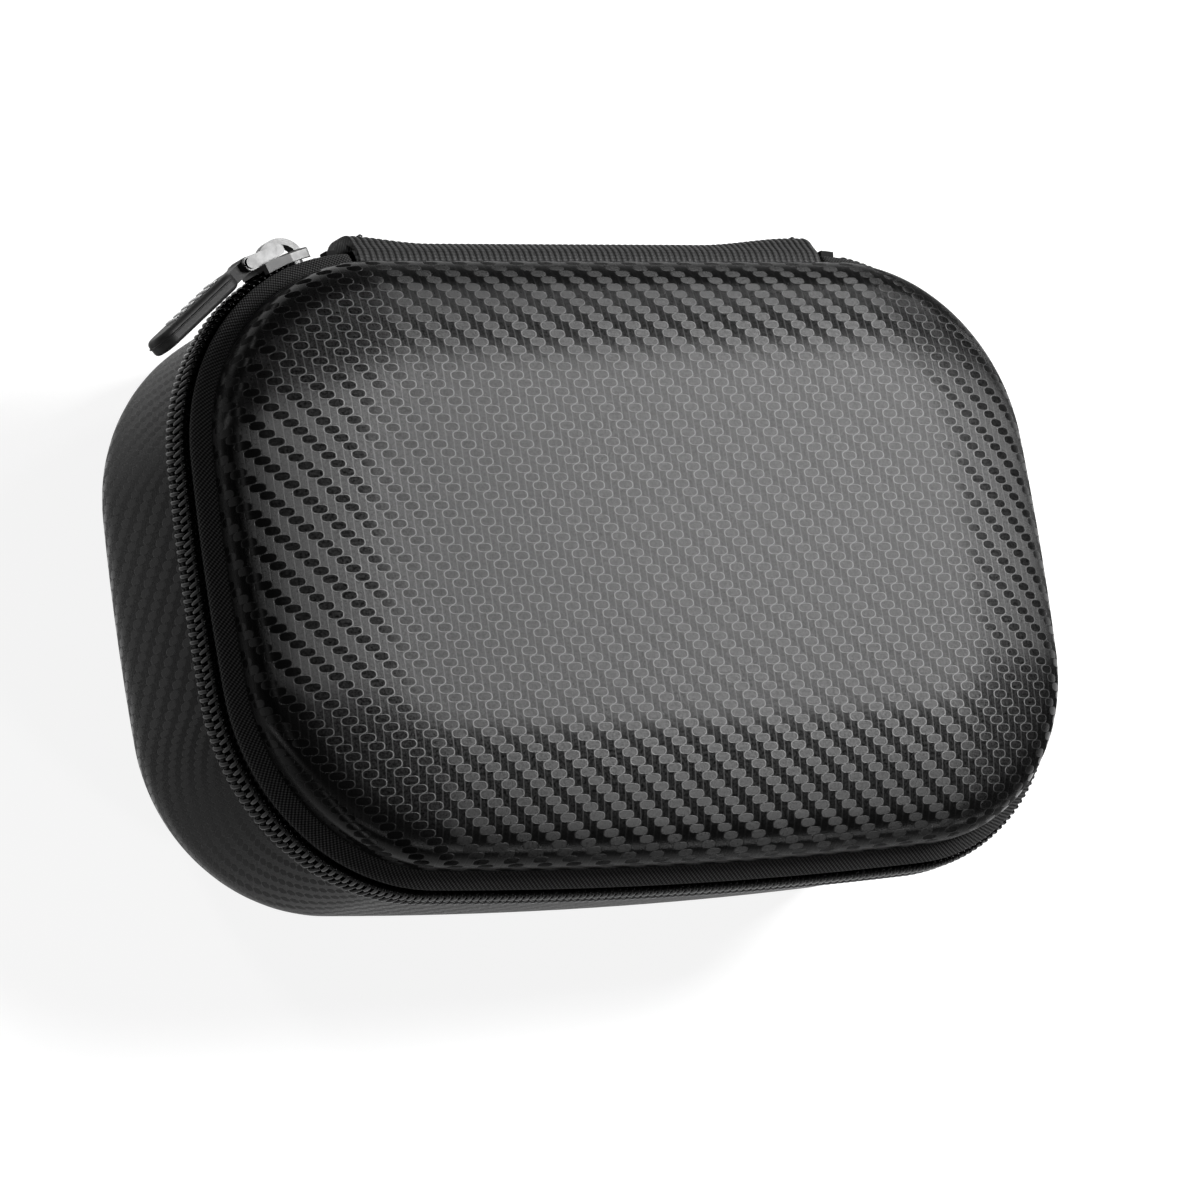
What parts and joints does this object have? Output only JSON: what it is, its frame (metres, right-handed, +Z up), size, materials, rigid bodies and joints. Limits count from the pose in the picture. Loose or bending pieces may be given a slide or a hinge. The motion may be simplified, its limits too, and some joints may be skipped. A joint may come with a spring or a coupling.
{
  "type": "headphone carrying case",
  "caption": "Hard-shell zipped carrying case for folded headphones, with an embossed woven-look cover, a fabric-hinged domed lid, a coil zip and a slider with a moulded pull tab.",
  "frame": {"origin": "centre of the flat bottom that the case rests on, centred on the zip chain's outline", "axes": "+X along the long side, +Y towards the fabric hinge, +Z up through the lid"},
  "size_m": [0.1602, 0.1085, 0.058],
  "materials": {
    "embossed_cover": "embossed woven-look coated cloth, satin",
    "foam": "moulded foam, matte",
    "lining": "brushed knit",
    "binding": "plain woven tape",
    "thread": "polyester thread",
    "zip_tape": "herringbone woven tape",
    "zip_coil": "glossy nylon",
    "stop_metal": "dark plated",
    "ribbon": "ribbed woven ribbon",
    "mesh": "open knit mesh",
    "elastic": "woven elastic",
    "slider_metal": "dark polished plating",
    "pull_metal": "dark polished plating",
    "tab_rubber": "moulded, matte",
    "tab_grip": "pale, matte"
  },
  "bodies": {
    "base": {"base_cover": "embossed_cover", "base_shell": "foam", "base_lining": "lining", "base_rim_binding": "binding", "base_seam_thread": "thread", "base_zip_tape": "zip_tape", "base_zip_coil": "zip_coil", "base_zip_cord": "thread", "base_top_stop": "stop_metal", "zip_end_stop": "stop_metal", "hinge_ribbon": "ribbon", "hinge_inner_strip": "binding", "ribbon_stitching": "thread"},
    "lid": {"lid_cover": "embossed_cover", "lid_shell": "foam", "lid_lining": "lining", "lid_rim_binding": "binding", "lid_seam_thread": "thread", "lid_zip_tape": "zip_tape", "lid_zip_coil": "zip_coil", "lid_zip_cord": "thread", "lid_top_stop": "stop_metal", "mesh_pocket": "mesh", "pocket_elastic": "elastic"},
    "slider": {"slider_body": "slider_metal", "slider_crown": "slider_metal"},
    "pull_link": {"pull_link": "pull_metal", "pull_pin": "pull_metal"},
    "pull_tab": {"pull_tab": "tab_rubber", "tab_grip": "tab_grip"}
  },
  "joints": [
    {"name": "lid_hinge", "type": "hinge", "parent": "base", "child": "lid", "pos_m": [0, 0.0531, 0.0415], "axis": [-1, 0, 0], "range_deg": [0, 180], "deforming": ["hinge_ribbon", "hinge_inner_strip"]},
    {"name": "slider_travel", "type": "hinge", "parent": "base", "child": "slider", "pos_m": [-0.04412, 0.0176, 0.0415], "axis": [0, 0, 1], "range_deg": [0, 48], "deforming": ["base_zip_tape", "base_zip_coil", "base_zip_cord", "lid_zip_tape", "lid_zip_coil", "lid_zip_cord"]},
    {"name": "link_swing", "type": "hinge", "parent": "slider", "child": "pull_link", "pos_m": [-0.05662, 0.0529, 0.0415], "axis": [0, 0, -1], "range_deg": [0, 125]},
    {"name": "tab_swing", "type": "hinge", "parent": "pull_link", "child": "pull_tab", "pos_m": [-0.06219, 0.05066, 0.0415], "axis": [0, 0, -1], "range_deg": [0, 90]}
  ]
}
